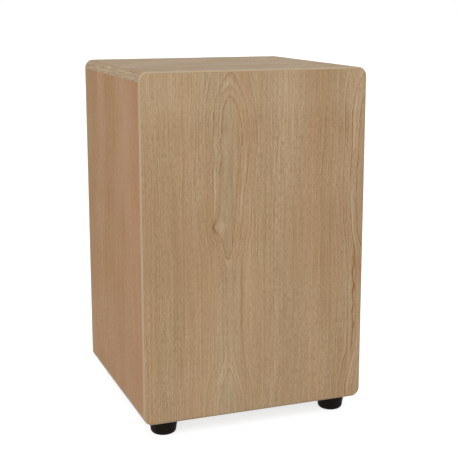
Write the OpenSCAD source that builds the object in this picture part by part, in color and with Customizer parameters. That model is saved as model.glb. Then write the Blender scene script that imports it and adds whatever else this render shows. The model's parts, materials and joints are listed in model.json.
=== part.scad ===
// Cajon: a box drum with a thin playing board in front, a sound hole in the back,
// rubber feet, and a snare bar inside that turns its strands off the playing board.
// Millimetres. +Z is up, -Y is the playing side. The origin lies on the floor,
// under the middle of the box.

/* [Box] */
// Width of the box, side to side
body_w = 300; // [260:1:360]
// Depth of the box, from the playing face to the back face
body_d = 280; // [240:1:340]
// Height of the box without its feet
body_h = 440; // [400:1:530]
// Thickness of the top, bottom and side panels
wall_t = 12; // [10:0.5:15]
// Radius of the four long edges of the box
corner_r = 11.5; // [4:0.5:16]

/* [Playing board and back panel] */
// Thickness of the playing board
tapa_t = 4; // [3.5:0.25:6]
// Rounding of the playing board's front edge
tapa_edge_r = 3; // [0.5:0.25:3.25]
// Thickness of the back panel
back_t = 5; // [3:0.5:8]
// Diameter of the sound hole
sound_hole_d = 120; // [80:1:160]
// Height of the sound hole's centre above the underside of the box
sound_hole_z = 233; // [120:1:300]

/* [Panel joints] */
// Thickness of the tongue at each end of a side panel
tongue_t = 6; // [4:0.5:7.5]
// Height of the tongue
tongue_h = 5; // [3:0.5:6]
// Gap for glue around a tongue, dowel, pin or bush
glue_gap = 0.05; // [0.02:0.01:0.15]
// Leg of the corner blocks' section
corner_block_leg = 15; // [10:1:25]
// Thickness that is left at the slanted edges of a corner block
corner_block_edge = 5; // [3:1:9]
// Distance from a corner block's ends to the boards in front of it and behind it
corner_block_gap = 4; // [2:1:20]

/* [Feet] */
// Height of a foot
foot_h = 20; // [15:1:28]
// Radius of a foot at its top
foot_top_r = 19.5; // [16:0.5:22]
// Radius of a foot above its rounded lower edge
foot_low_r = 16.5; // [13:0.5:18]
// Rounding of a foot's lower edge
foot_edge_r = 5; // [2:0.5:6]
// Distance from the side of the box to a foot's rim
foot_inset_x = 12.5; // [6:0.5:40]
// Distance from the inner face of the playing board or back panel to a foot's rim
foot_inset_y = 1; // [0.5:0.5:30]
// Radius of the screw recess in a foot
foot_recess_r = 6; // [5.75:0.25:6.75]
// Depth of the screw recess in a foot
foot_recess_h = 8; // [6:0.5:10]
// Radius of a foot screw's shank
foot_screw_r = 2; // [1.5:0.25:2.25]
// Length of a foot screw in the bottom panel
foot_screw_hold = 8; // [6:0.5:8.5]
// Radius of a foot washer
foot_washer_r = 5.5; // [4.5:0.25:5.5]
// Thickness of a foot washer
foot_washer_t = 1; // [0.5:0.25:1.5]

/* [Snare bar] */
// Distance from the top of the box down to the bar's pivot axis
pivot_drop = 150; // [145:1:200]
// Distance from the playing board's inner face to the bar
bar_gap = 6; // [6:0.5:10]
// Depth of the bar
bar_d = 30; // [26:1:40]
// Height of the bar
bar_h = 24; // [22:1:30]
// Angle through which the bar turns to take the strands off
throw_deg = 20; // [12:1:24]
// Radius of the pivot pins
pin_r = 4; // [3:0.25:4.5]
// Length of a pivot pin inside the bar
pin_hold = 14; // [10:1:20]
// Running gap between a pivot pin and its bush
pin_gap = 0.06; // [0.03:0.01:0.1]
// Outer radius of the bushes
bush_r = 6; // [5.75:0.25:7]
// Length of a bush inside its block
bush_l = 14; // [10:0.5:15]
// Radius of a bush's flange
flange_r = 9; // [8:0.5:10]
// Thickness of a bush's flange
flange_t = 0.8; // [0.6:0.1:1.5]
// End gap between the bar and a bush's flange
bar_end_gap = 0.3; // [0.2:0.05:0.6]
// Radius of the finger lever
lever_r = 4; // [3:0.5:6]
// Depth of the lever's hole in the bar
lever_hold = 18; // [12:1:20]
// Length of the lever behind the bar
lever_reach = 52; // [30:1:80]

/* [Pivot blocks] */
// Thickness of a pivot block, from the side panel inwards
pivot_block_w = 18; // [17:0.5:24]
// Height of a pivot block
pivot_block_h = 66; // [64:1:90]
// Distance from the playing board's inner face to a pivot block
pivot_block_gap = 4; // [3:0.5:6]
// Distance by which a pivot block reaches behind the bar
pivot_block_reach = 1; // [0:0.5:6]
// Distance from the pivot axis to a block screw, up or down
block_screw_drop = 26; // [25:0.5:28]
// Radius of a block screw's shank
block_screw_r = 1.75; // [1.5:0.25:2]
// Length of a block screw in the side panel
block_screw_hold = 8; // [6:0.5:8.5]
// Radius of the stop pegs
stop_r = 3; // [2.5:0.25:3.5]
// Length of a stop peg under the bar, and in its block
stop_reach = 10; // [8:0.5:12]
// Distance behind the pivot axis at which a stop peg meets the turned bar
stop_back = 10; // [8:0.5:12]
// Gap left between a stop peg and the turned bar
stop_gap = 0.3; // [0.2:0.05:0.6]

/* [Snare strands] */
// Distance from the middle of the box to the middle of a clip
clip_x = 70; // [40:1:78]
// Height of a clip's plate
clip_h = 20; // [18:0.5:21]
// Thickness of a clip's plate
clip_t = 1; // [0.8:0.1:1.5]
// Height of the grip that holds the strands
grip_h = 8; // [6:0.5:8.5]
// Gap between a grip and the playing board
grip_gap = 0.35; // [0.3:0.05:0.4]
// Strands in each clip
strand_n = 10; // [4:2:12]
// Distance between neighbouring strands
strand_pitch = 4.2; // [3.6:0.1:4.4]
// Radius of a strand
strand_r = 0.8; // [0.5:0.05:0.9]
// Gap between the strands and the playing board
strand_gap = 0.7; // [0.7:0.05:1]
// Length of a strand, with the part inside the grip
strand_l = 112; // [80:1:115]
// Depth of a strand inside the grip
strand_hold = 6; // [4:0.5:6.5]
// Distance from the middle of a clip to each of its screws
clip_screw_x = 15; // [10:0.5:17]
// Radius of a clip screw's shank
clip_screw_r = 1.5; // [1.25:0.25:1.75]
// Length of a clip screw in the bar
clip_screw_hold = 11; // [8:0.5:12]

/* [Hidden] */

$fn = 64;
LEFT = -1;
RIGHT = 1;
FRONT = -1;
REAR = 1;
LOWER = -1;
UPPER = 1;

// Distance by which a cut passes the face that it opens
cut = 1;
// Gap around a screw's shank and head
screw_gap = 0.05;
// Length and end radius of a screw's point
point_h = 3;
point_r = 0.3;
// Head sizes, as multiples of a screw's shank radius
pan_head_r = 2;
pan_head_h = 1.2;
csk_head_r = 2;
csk_head_h = 1.1;
// Cross recess of a screw, as multiples of its shank radius
recess_l = 2.4;
recess_w = 0.5;
recess_h = 0.7;
// Bevel on the free end of a dowel or pin
bevel = 1;
// Room in a pivot block beyond the end of its bush
bush_end_gap = 1;

// Height of the middle and of the inner faces of the box
box_z = foot_h;
mid_z = box_z + body_h / 2;
top_z = box_z + body_h;
inner_low_z = box_z + wall_t;
inner_high_z = top_z - wall_t;
inner_x = body_w / 2 - wall_t;

// Depth of the boards' inner faces
tapa_y = -body_d / 2 + tapa_t;
back_y = body_d / 2 - back_t;

// Centres of the feet
foot_x = body_w / 2 - foot_inset_x - foot_top_r;
foot_front_y = tapa_y + foot_inset_y + foot_top_r;
foot_rear_y = back_y - foot_inset_y - foot_top_r;

// Pivot axis and the length of the bar between the flanges
pivot_y = tapa_y + bar_gap + bar_d / 2;
pivot_z = top_z - pivot_drop;
block_x = inner_x - pivot_block_w;
bar_l = 2 * (block_x - flange_t - bar_end_gap);
bar_front_y = pivot_y - bar_d / 2;
bar_back_y = pivot_y + bar_d / 2;

// Front and back faces of the pivot blocks
block_front_y = tapa_y + pivot_block_gap;
block_back_y = bar_back_y + pivot_block_reach;

// Stop peg, against the underside of the turned bar
stop_off = bar_h / 2 + stop_r + stop_gap;
stop_y = pivot_y + stop_back * cos(throw_deg) - stop_off * sin(throw_deg);
stop_z = pivot_z - stop_back * sin(throw_deg) - stop_off * cos(throw_deg);

// Clip, strands and clip screws
clip_w = strand_n * strand_pitch + 2 * strand_r;
plate_front_y = bar_front_y - clip_t;
grip_front_y = tapa_y + grip_gap;
grip_low_z = pivot_z + clip_h / 2 - grip_h;
grip_high_z = pivot_z + clip_h / 2;
strand_y = tapa_y + strand_gap + strand_r;
strand_low_z = grip_high_z - strand_hold;
clip_screw_z = (pivot_z - clip_h / 2 + grip_low_z) / 2;

// Extrudes a section drawn in X and Z from one depth to another
module along_y(y_from, y_to) {
    translate([0, y_to, 0])
        rotate([90, 0, 0])
            linear_extrude(y_to - y_from) children();
}

// Lays a piece drawn along +Z along +X, away from the middle of the box
module along_x() {
    rotate([0, 90, 0]) children();
}

// Mirrors a piece drawn on the right-hand side when it belongs on the left
module on_side(side) {
    if (side == LEFT) mirror([1, 0, 0]) children();
    else children();
}

// Mirrors a piece drawn at the top of the box when it belongs at the bottom
module on_level(level) {
    if (level == LOWER) translate([0, 0, 2 * mid_z]) mirror([0, 0, 1]) children();
    else children();
}

// Front outline of the box, drawn in by an inset
module outline(inset = 0) {
    half_w = body_w / 2 - inset;
    half_h = body_h / 2 - inset;
    r = corner_r - inset;
    translate([0, mid_z]) {
        square([2 * half_w, 2 * (half_h - r)], center = true);
        square([2 * (half_w - r), 2 * half_h], center = true);
        for (x = [LEFT, RIGHT], z = [LOWER, UPPER])
            translate([x * (half_w - r), z * (half_h - r)]) circle(r);
    }
}

// Cross recess at the origin, cut along +Z
module cross_recess(r) {
    for (a = [0, 90])
        rotate(a)
            translate([-recess_l * r / 2, -recess_w * r / 2, -cut])
                cube([recess_l * r, recess_w * r, recess_h * r + cut]);
}

// Shank of a screw with its point, along +Z
module shank(r, length) {
    cylinder(r = r, h = length - point_h);
    translate([0, 0, length - point_h]) cylinder(r1 = r, r2 = point_r, h = point_h);
}

// Pan-head screw: the head's underside is at the origin, the shank runs along +Z
module pan_screw(r, length) {
    difference() {
        union() {
            shank(r, length);
            translate([0, 0, -pan_head_h * r]) cylinder(r = pan_head_r * r, h = pan_head_h * r);
        }
        translate([0, 0, -pan_head_h * r]) cross_recess(r);
    }
}

// Countersunk screw: the head's face is at the origin, the shank runs along +Z
module csk_screw(r, length) {
    difference() {
        union() {
            shank(r, length);
            cylinder(r1 = csk_head_r * r, r2 = r, h = csk_head_h * r);
        }
        cross_recess(r);
    }
}

// Hole for a screw's shank, from below its origin
module screw_hole(r, length) {
    translate([0, 0, -cut]) cylinder(r = r + screw_gap, h = length + cut + screw_gap);
}

// Hole for a countersunk screw, open at the head's face
module csk_hole(r, length) {
    screw_hole(r, length);
    slope = (csk_head_r - 1) / csk_head_h;
    translate([0, 0, -cut])
        cylinder(
            r1 = csk_head_r * r + screw_gap + cut * slope,
            r2 = r + screw_gap,
            h = csk_head_h * r + cut
        );
}

// Places its children at the screw of each foot
module at_foot(x_side, y_side) {
    translate([x_side * foot_x, y_side == FRONT ? foot_front_y : foot_rear_y, 0]) children();
}

module at_feet() {
    for (x_side = [LEFT, RIGHT], y_side = [FRONT, REAR]) at_foot(x_side, y_side) children();
}

// Places its children at the heads of the screws in the right-hand pivot block
module at_block_screws() {
    for (level = [LOWER, UPPER])
        translate([block_x, pivot_y, pivot_z + level * block_screw_drop]) along_x() children();
}

// Places its children under the heads of the screws in the right-hand clip
module at_clip_screws() {
    for (x = [-clip_screw_x, clip_screw_x])
        translate([clip_x + x, plate_front_y, clip_screw_z]) rotate([-90, 0, 0]) children();
}

// Playing board: each layer is drawn in as far as the rounded front edge asks
module tapa() {
    edge_steps = 4;
    color([0.67, 0.57, 0.44])
        hull()
            for (i = [0 : edge_steps]) {
                a = 90 * i / edge_steps;
                along_y(tapa_y - tapa_t + tapa_edge_r * (1 - sin(a)), tapa_y)
                    outline(tapa_edge_r * (1 - cos(a)), $fn = 32);
            }
}

module back_panel() {
    color([0.62, 0.5, 0.38])
        difference() {
            along_y(back_y, back_y + back_t) outline();
            along_y(back_y - cut, back_y + back_t + cut)
                translate([0, box_z + sound_hole_z]) circle(d = sound_hole_d);
        }
}

// Section of the top panel, with a groove for the tongue of each side panel
module top_section() {
    difference() {
        intersection() {
            outline();
            translate([-body_w / 2, inner_high_z]) square([body_w, wall_t]);
        }
        for (x = [-inner_x - tongue_t - glue_gap, inner_x - glue_gap])
            translate([x, inner_high_z - cut])
                square([tongue_t + 2 * glue_gap, tongue_h + glue_gap + cut]);
    }
}

module top_panel() {
    color([0.67, 0.6, 0.5]) along_y(tapa_y, back_y) top_section();
}

module bottom_panel() {
    color([0.67, 0.6, 0.5])
        difference() {
            on_level(LOWER) along_y(tapa_y, back_y) top_section();
            at_feet() translate([0, 0, box_z]) screw_hole(foot_screw_r, foot_screw_hold);
        }
}

// Right-hand side panel, with a tongue at its top and bottom and its pivot block's screw holes
module side_panel() {
    panel_h = inner_high_z - inner_low_z;
    difference() {
        along_y(tapa_y, back_y) {
            intersection() {
                outline();
                translate([inner_x, inner_low_z]) square([wall_t, panel_h]);
            }
            translate([inner_x, inner_low_z - tongue_h]) square([tongue_t, panel_h + 2 * tongue_h]);
        }
        at_block_screws() screw_hole(block_screw_r, pivot_block_w + block_screw_hold);
    }
}

module left_side_panel() {
    color([0.65, 0.51, 0.4]) on_side(LEFT) side_panel();
}

module right_side_panel() {
    color([0.65, 0.51, 0.4]) on_side(RIGHT) side_panel();
}

// Glue block in one of the box's inner corners
module corner_block(side, level) {
    leg = corner_block_leg;
    edge = corner_block_edge;
    color([0.78, 0.66, 0.48])
        on_side(side)
            on_level(level)
                along_y(tapa_y + corner_block_gap, back_y - corner_block_gap)
                    translate([inner_x, inner_high_z])
                        polygon([[0, 0], [-leg, 0], [-leg, -edge], [-edge, -leg], [0, -leg]]);
}

module corner_block_upper_left() {
    corner_block(LEFT, UPPER);
}

module corner_block_upper_right() {
    corner_block(RIGHT, UPPER);
}

module corner_block_lower_left() {
    corner_block(LEFT, LOWER);
}

module corner_block_lower_right() {
    corner_block(RIGHT, LOWER);
}

// Tapered foot with a rounded lower edge, a screw recess below and a screw hole above it
module foot(x_side, y_side) {
    edge_steps = 6;
    edge = [
        for (i = [0 : edge_steps])
            let (a = 90 * i / edge_steps)
            [foot_low_r - foot_edge_r * (1 - sin(a)), foot_edge_r * (1 - cos(a))]
    ];
    color([0.1, 0.1, 0.1])
        at_foot(x_side, y_side)
            difference() {
                rotate_extrude() polygon(concat([[0, 0]], edge, [[foot_top_r, foot_h], [0, foot_h]]));
                translate([0, 0, -cut]) cylinder(r = foot_recess_r, h = foot_recess_h + cut);
                screw_hole(foot_screw_r, foot_h + cut);
            }
}

module foot_front_left() {
    foot(LEFT, FRONT);
}

module foot_front_right() {
    foot(RIGHT, FRONT);
}

module foot_rear_left() {
    foot(LEFT, REAR);
}

module foot_rear_right() {
    foot(RIGHT, REAR);
}

module foot_washers() {
    color("silver")
        at_feet()
            translate([0, 0, foot_recess_h - foot_washer_t])
                difference() {
                    cylinder(r = foot_washer_r, h = foot_washer_t);
                    screw_hole(foot_screw_r, foot_washer_t + cut);
                }
}

module foot_screws() {
    head_z = foot_recess_h - foot_washer_t;
    color("silver")
        at_feet() translate([0, 0, head_z]) pan_screw(foot_screw_r, box_z + foot_screw_hold - head_z);
}

module snare_bar() {
    color([0.75, 0.6, 0.42])
        difference() {
            translate([-bar_l / 2, bar_front_y, pivot_z - bar_h / 2]) cube([bar_l, bar_d, bar_h]);
            for (side = [LEFT, RIGHT])
                on_side(side) {
                    translate([bar_l / 2 - pin_hold, pivot_y, pivot_z])
                        along_x() cylinder(r = pin_r + glue_gap, h = pin_hold + cut);
                    at_clip_screws() screw_hole(clip_screw_r, clip_t + clip_screw_hold);
                }
            translate([0, bar_back_y - lever_hold, pivot_z])
                rotate([-90, 0, 0]) cylinder(r = lever_r + glue_gap, h = lever_hold + cut);
        }
}

// Pin from the bottom of its hole in the bar to the far end of its bush
module pivot_pin(side) {
    pin_l = pin_hold + bar_end_gap + flange_t + bush_l;
    color("silver")
        on_side(side)
            translate([bar_l / 2 - pin_hold, pivot_y, pivot_z])
                along_x() {
                    cylinder(r = pin_r, h = pin_l - bevel);
                    translate([0, 0, pin_l - bevel]) cylinder(r1 = pin_r, r2 = pin_r - bevel, h = bevel);
                }
}

module pivot_pin_left() {
    pivot_pin(LEFT);
}

module pivot_pin_right() {
    pivot_pin(RIGHT);
}

// Bush with its flange against the inner face of the pivot block
module pivot_bush(side) {
    color([0.9, 0.88, 0.82])
        on_side(side)
            translate([block_x, pivot_y, pivot_z])
                along_x()
                    difference() {
                        union() {
                            cylinder(r = bush_r, h = bush_l);
                            translate([0, 0, -flange_t]) cylinder(r = flange_r, h = flange_t);
                        }
                        translate([0, 0, -flange_t - cut])
                            cylinder(r = pin_r + pin_gap, h = bush_l + flange_t + 2 * cut);
                    }
}

module pivot_bush_left() {
    pivot_bush(LEFT);
}

module pivot_bush_right() {
    pivot_bush(RIGHT);
}

// Block on the side panel, with holes for its bush, its two screws and its stop peg
module pivot_block(side) {
    color([0.75, 0.6, 0.42])
        on_side(side)
            difference() {
                translate([block_x, block_front_y, pivot_z - pivot_block_h / 2])
                    cube([pivot_block_w, block_back_y - block_front_y, pivot_block_h]);
                translate([block_x - cut, pivot_y, pivot_z])
                    along_x() cylinder(r = bush_r + glue_gap, h = cut + bush_l + bush_end_gap);
                at_block_screws() csk_hole(block_screw_r, pivot_block_w + cut);
                translate([block_x - cut, stop_y, stop_z])
                    along_x() cylinder(r = stop_r + glue_gap, h = cut + stop_reach);
            }
}

module pivot_block_left() {
    pivot_block(LEFT);
}

module pivot_block_right() {
    pivot_block(RIGHT);
}

module block_screws() {
    color("silver")
        for (side = [LEFT, RIGHT])
            on_side(side) at_block_screws() csk_screw(block_screw_r, pivot_block_w + block_screw_hold);
}

// Clip: a plate on the front of the bar with a grip along its upper edge
module snare_clip(side) {
    color("silver")
        on_side(side)
            difference() {
                union() {
                    translate([clip_x - clip_w / 2, plate_front_y, pivot_z - clip_h / 2])
                        cube([clip_w, clip_t, clip_h]);
                    translate([clip_x - clip_w / 2, grip_front_y, grip_low_z])
                        cube([clip_w, bar_front_y - grip_front_y, grip_h]);
                }
                at_strands() cylinder(r = strand_r + glue_gap, h = strand_hold + cut);
                at_clip_screws() screw_hole(clip_screw_r, clip_t + cut);
            }
}

// Places its children at the lower ends of the strands in the right-hand clip
module at_strands() {
    for (i = [0 : strand_n - 1])
        translate([clip_x + (i - (strand_n - 1) / 2) * strand_pitch, strand_y, strand_low_z]) children();
}

module snare_clip_left() {
    snare_clip(LEFT);
}

module snare_clip_right() {
    snare_clip(RIGHT);
}

module snare_strands(side) {
    color("silver") on_side(side) at_strands() cylinder(r = strand_r, h = strand_l);
}

module snare_strands_left() {
    snare_strands(LEFT);
}

module snare_strands_right() {
    snare_strands(RIGHT);
}

module clip_screws() {
    color("silver")
        for (side = [LEFT, RIGHT])
            on_side(side) at_clip_screws() pan_screw(clip_screw_r, clip_t + clip_screw_hold);
}

module snare_lever() {
    color([0.8, 0.68, 0.5])
        translate([0, bar_back_y - lever_hold, pivot_z])
            rotate([-90, 0, 0]) {
                cylinder(r = lever_r, h = lever_hold + lever_reach - bevel);
                translate([0, 0, lever_hold + lever_reach - bevel])
                    cylinder(r1 = lever_r, r2 = lever_r - bevel, h = bevel);
            }
}

module stop_pegs() {
    color([0.8, 0.68, 0.5])
        for (side = [LEFT, RIGHT])
            on_side(side)
                translate([block_x - stop_reach, stop_y, stop_z])
                    along_x() cylinder(r = stop_r, h = 2 * stop_reach);
}

tapa();
back_panel();
top_panel();
bottom_panel();
left_side_panel();
right_side_panel();
corner_block_upper_left();
corner_block_upper_right();
corner_block_lower_left();
corner_block_lower_right();
foot_front_left();
foot_front_right();
foot_rear_left();
foot_rear_right();
foot_washers();
foot_screws();
snare_bar();
pivot_pin_left();
pivot_pin_right();
pivot_bush_left();
pivot_bush_right();
pivot_block_left();
pivot_block_right();
block_screws();
snare_clip_left();
snare_clip_right();
snare_strands_left();
snare_strands_right();
clip_screws();
snare_lever();
stop_pegs();
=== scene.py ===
"""Looks of a cajon: veneered box, rounded playing board, rubber feet and a snare bar behind the board."""
import json
import math
from collections import namedtuple

import bpy
import numpy as np
from mathutils import Matrix, Vector


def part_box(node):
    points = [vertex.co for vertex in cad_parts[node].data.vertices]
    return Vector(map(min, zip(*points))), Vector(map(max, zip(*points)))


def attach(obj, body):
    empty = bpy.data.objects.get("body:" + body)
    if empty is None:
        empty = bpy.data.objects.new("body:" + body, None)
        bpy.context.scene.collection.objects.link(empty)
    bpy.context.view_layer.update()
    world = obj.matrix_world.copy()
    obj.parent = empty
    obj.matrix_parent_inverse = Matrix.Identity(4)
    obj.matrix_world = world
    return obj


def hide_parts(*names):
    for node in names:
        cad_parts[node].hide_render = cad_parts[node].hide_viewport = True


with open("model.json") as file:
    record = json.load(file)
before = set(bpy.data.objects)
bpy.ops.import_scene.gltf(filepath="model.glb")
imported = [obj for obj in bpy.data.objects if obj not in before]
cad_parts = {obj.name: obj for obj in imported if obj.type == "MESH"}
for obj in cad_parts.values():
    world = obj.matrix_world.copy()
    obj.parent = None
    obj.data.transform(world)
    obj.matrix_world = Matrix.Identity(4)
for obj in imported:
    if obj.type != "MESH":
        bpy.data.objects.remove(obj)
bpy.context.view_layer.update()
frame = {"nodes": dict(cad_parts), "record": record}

MM = 0.001

# Camera, from the photograph's outline of the box
CAMERA_PLACE = (-479.7 * MM, -1325.6 * MM, 542.8 * MM)
CAMERA_YAW = math.radians(21.05)
CAMERA_PITCH = math.radians(11.05)
CAMERA_ROLL = math.radians(0.07)
CAMERA_LENS = 82.1
CAMERA_SHIFT = (-0.0228, -0.0546)

# Stage: glow levels, where 1 shows as white, the lamp's power in watts, and sizes in metres
SKY_LEVEL = 0.95
FLOOR_GLOW = 0.75
FLOOR_GREY = 0.5
FLOOR_HALF = 30.0
KEY_PLACE = (-2.0, -2.1, 1.5)
KEY_SIZE = 1.8
KEY_POWER = 29.0
WHITE = (1.0, 1.0, 1.0, 1.0)

# Boards: corners and edges, the sound hole, and the tongues of the side boards
CORNER = 11.5 * MM
TAPA_EDGE = 3.0 * MM
TAPA_BACK_EDGE = 0.4 * MM
BACK_EDGE = 1.2 * MM
HOLE_R = 60.0 * MM
HOLE_EDGE = 1.5 * MM
HAIRLINE = 0.15 * MM
TONGUE_T = 6.0 * MM
TONGUE_H = 5.0 * MM
GLUE_GAP = 0.05 * MM
CORNER_STEPS = 14
EDGE_STEPS = 8
BACK_RUN_STEPS = 24

# Rubber feet
FOOT_LOW_R = 16.5 * MM
FOOT_TOP_R = 19.5 * MM
FOOT_EDGE = 5.0 * MM
FOOT_HOLLOW = 1.25
FOOT_RISE = (0.15, 1.0)
FOOT_RISE_STEPS = 8
FOOT_BORE_R = 2.05 * MM
FOOT_RECESS_R = 6.0 * MM
FOOT_RECESS_H = 8.0 * MM
FOOT_BEVEL = 0.4 * MM
FOOT_SIDES = 72

# Snare fittings
BAR_EDGE = 2.0 * MM
LEVER_NECK = 0.85
LEVER_STEPS = 9
LEVER_SIDES = 48
LEVER_TIP = math.radians(84.6)
STRANDS = 10
COIL_R = 0.8 * MM
COIL_PITCH = 1.25 * MM
COIL_STEPS = 10
WIRE_R = 0.24 * MM
WIRE_SIDES = 5
CLIP_ROUND = 1.5 * MM
CLIP_PLATE = 1.0 * MM
CLIP_GRIP = 8.0 * MM
CRIMP = 0.6 * MM
CRIMP_START = 3.0 * MM
CRIMP_RUN = 2.0 * MM
CRIMP_STEPS = 12

# Angles in degrees past which an edge is shaded sharp
SHARP = 35.0
WIRE_SHARP = 80.0


def span(node):
    """Lowest and highest corner of a node as two numpy vectors."""
    lo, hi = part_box(node)
    return np.array(lo), np.array(hi)


TAPA_LO, TAPA_HI = span("tapa")
BACK_LO, BACK_HI = span("back_panel")
TOP_LO, TOP_HI = span("top_panel")
BOTTOM_LO, BOTTOM_HI = span("bottom_panel")
SIDE_LO, SIDE_HI = span("right_side_panel")
HALF_W = TAPA_HI[0]
HALF_H = (TAPA_HI[2] - TAPA_LO[2]) / 2
MID_Z = (TAPA_LO[2] + TAPA_HI[2]) / 2


# Meshes


def quads(rows, cols, wrap_rows=False):
    """Faces of a grid of points numbered row by row and closed round each row: a cell joins a point to
    its neighbours in the next row and the next column."""
    r = np.arange(rows if wrap_rows else rows - 1)[:, None]
    c = np.arange(cols)[None, :]
    r1, c1 = (r + 1) % rows, (c + 1) % cols
    corners = [r * cols + c, r1 * cols + c, r1 * cols + c1, r * cols + c1]
    return np.stack(corners, axis=-1).reshape(-1, 4)


def make_piece(name, points, faces, material, body, slot, node, sharp=SHARP):
    """A mesh object from points and the corner lists of its faces, shaded smooth below the sharp angle.
    It rides on a body and hides the CAD node that it stands for. The slot is not used."""
    mesh = bpy.data.meshes.new(name)
    mesh.from_pydata(np.asarray(points).reshape(-1, 3).tolist(), [], [face.tolist() for face in faces])
    mesh.update()
    mesh.shade_smooth()
    mesh.set_sharp_from_angle(angle=math.radians(sharp))
    mesh.materials.append(material)
    piece = bpy.data.objects.new(name, mesh)
    bpy.context.collection.objects.link(piece)
    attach(piece, body)
    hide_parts(node)


def rounded_outline(half_a, half_b, radius, run_steps):
    """Closed outline of a rounded rectangle, anticlockwise: quarter circles about the four corner
    centres, with the straight runs between them cut into equal lengths."""
    turn = np.linspace(0, np.pi / 2, CORNER_STEPS + 1)
    angle = np.arange(4)[:, None] * np.pi / 2 + turn
    centre_a = (half_a - radius) * np.array([[1], [-1], [-1], [1]])
    centre_b = (half_b - radius) * np.array([[1], [1], [-1], [-1]])
    arcs = np.stack([centre_a + radius * np.cos(angle), centre_b + radius * np.sin(angle)], axis=-1)
    share = np.arange(1, run_steps)[None, :, None] / run_steps
    ends, starts = arcs[:, -1:, :], np.roll(arcs[:, :1, :], -1, axis=0)
    runs = ends + (starts - ends) * share
    return np.concatenate([arcs, runs], axis=1).reshape(-1, 2)


def quarter(radius):
    """Inset and depth of a rounded edge: inset = r (1 - cos a), depth = r (1 - sin a), a from 90 degrees
    to 0."""
    a = np.linspace(np.pi / 2, 0, EDGE_STEPS + 1)
    return np.stack([radius * (1 - np.cos(a)), radius * (1 - np.sin(a))], axis=-1)


def rim(thickness, front_r, back_r):
    """Profile of a board's rim from its front face to its back face, as inset and depth, with both edges
    rounded. A first and last row lie a hair further in, so that the flat faces stay flat."""
    front = quarter(front_r)
    back = quarter(back_r)[::-1] * [1, -1] + [0, thickness]
    inner_front = front[:1] + [HAIRLINE, 0]
    inner_back = back[-1:] + [HAIRLINE, 0]
    return np.concatenate([inner_front, front, back, inner_back])


def board_rings(half_a, half_b, radius, profile, run_steps=1):
    """Rings of a board, as across, up and depth: the rounded outline drawn in by each inset of the
    profile, at that profile's depth."""
    outlines = np.stack([
        rounded_outline(half_a - inset, half_b - inset, max(radius - inset, HAIRLINE), run_steps)
        for inset in profile[:, 0]
    ])
    depth = np.broadcast_to(profile[:, 1, None, None], (*outlines.shape[:2], 1))
    return np.concatenate([outlines, depth], axis=-1)


def facing_front(rings, y_front, z_mid):
    """Turns rings of across, up and depth into X, Y and Z, with the depth counted back from the front
    face."""
    return np.stack([rings[..., 0], y_front + rings[..., 2], z_mid + rings[..., 1]], axis=-1)


def facing_back(rings, y_back, z_mid):
    """As facing_front, for a board whose outer face looks backwards: across and depth are both turned
    round."""
    return np.stack([-rings[..., 0], y_back - rings[..., 2], z_mid + rings[..., 1]], axis=-1)


def facing_left(rings, x_left, y_mid, z_mid):
    """As facing_front, for a bar seen from its left end: across runs to the front and the depth to the
    right."""
    return np.stack([x_left + rings[..., 2], y_mid - rings[..., 0], z_mid + rings[..., 1]], axis=-1)


def capped(rings):
    """Points and faces of a ring stack closed by one flat face at each end, with the first ring in
    front."""
    rows, cols = rings.shape[:2]
    first = np.arange(cols)
    last = (rows - 1) * cols + first
    return rings.reshape(-1, 3), [*quads(rows, cols), first, last[::-1]]


def swept(section, y_from, y_to):
    """A section of X and Z points, anticlockwise seen from the front, carried straight along Y and
    closed."""
    ring = np.column_stack([section[:, 0], np.zeros(len(section)), section[:, 1]])
    return capped(np.stack([ring + [0, y_from, 0], ring + [0, y_to, 0]]))


def lathe(profile, centre):
    """A closed profile of radius and height turned clockwise about a vertical axis through the centre."""
    angle = np.linspace(2 * np.pi, 0, FOOT_SIDES, endpoint=False)[None, :]
    radius, height = profile[:, :1], profile[:, 1:]
    rings = np.stack([radius * np.cos(angle), radius * np.sin(angle), height + 0 * angle], axis=-1)
    return rings + np.array(centre), quads(len(profile), FOOT_SIDES, wrap_rows=True)


# Shader arithmetic


class Channel:
    """One number in a shader, on which plain arithmetic lays down Math nodes."""

    def __init__(self, tree, socket):
        self.tree = tree
        self.socket = socket

    def math(self, operation, *others):
        """A Math node on this channel and the other values."""
        node = self.tree.nodes.new("ShaderNodeMath")
        node.operation = operation
        for socket, value in zip(node.inputs, (self, *others)):
            plug(self.tree, value, socket)
        return Channel(self.tree, node.outputs[0])

    def __add__(self, other):
        return self.math("ADD", other)

    def __sub__(self, other):
        return self.math("SUBTRACT", other)

    def __mul__(self, other):
        return self.math("MULTIPLY", other)

    def __truediv__(self, other):
        return self.math("DIVIDE", other)

    def __pow__(self, other):
        return self.math("POWER", other)

    def step(self, low, high):
        """Smooth step from 0 at low to 1 at high, where low may be the greater of the two."""
        node = self.tree.nodes.new("ShaderNodeMapRange")
        node.interpolation_type = "SMOOTHSTEP"
        for name, value in (("Value", self), ("From Min", low), ("From Max", high)):
            plug(self.tree, value, node.inputs[name])
        return Channel(self.tree, node.outputs[0])

    def window(self, rise, fall):
        """Smooth step up over the rise times a smooth step down over the fall."""
        return self.step(*rise) * self.step(*fall)

    def run(self, low, high):
        """Straight line from low at 0 to high at 1."""
        return self * (high - low) + low

    def swing(self, reach):
        """Straight line from minus the reach at 0 to the reach at 1."""
        return self.run(-reach, reach)


def plug(tree, value, socket):
    """Links a channel or socket into a socket, or writes a plain value there."""
    if isinstance(value, Channel):
        tree.links.new(value.socket, socket)
    elif isinstance(value, bpy.types.NodeSocket):
        tree.links.new(value, socket)
    else:
        socket.default_value = value


def gauss(value):
    """Bell curve: e to the minus square."""
    return (value * value * -1.0).math("EXPONENT")


def peak(value):
    """Sharp peak: e to the minus absolute value."""
    return (value.math("ABSOLUTE") * -1.0).math("EXPONENT")


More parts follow.
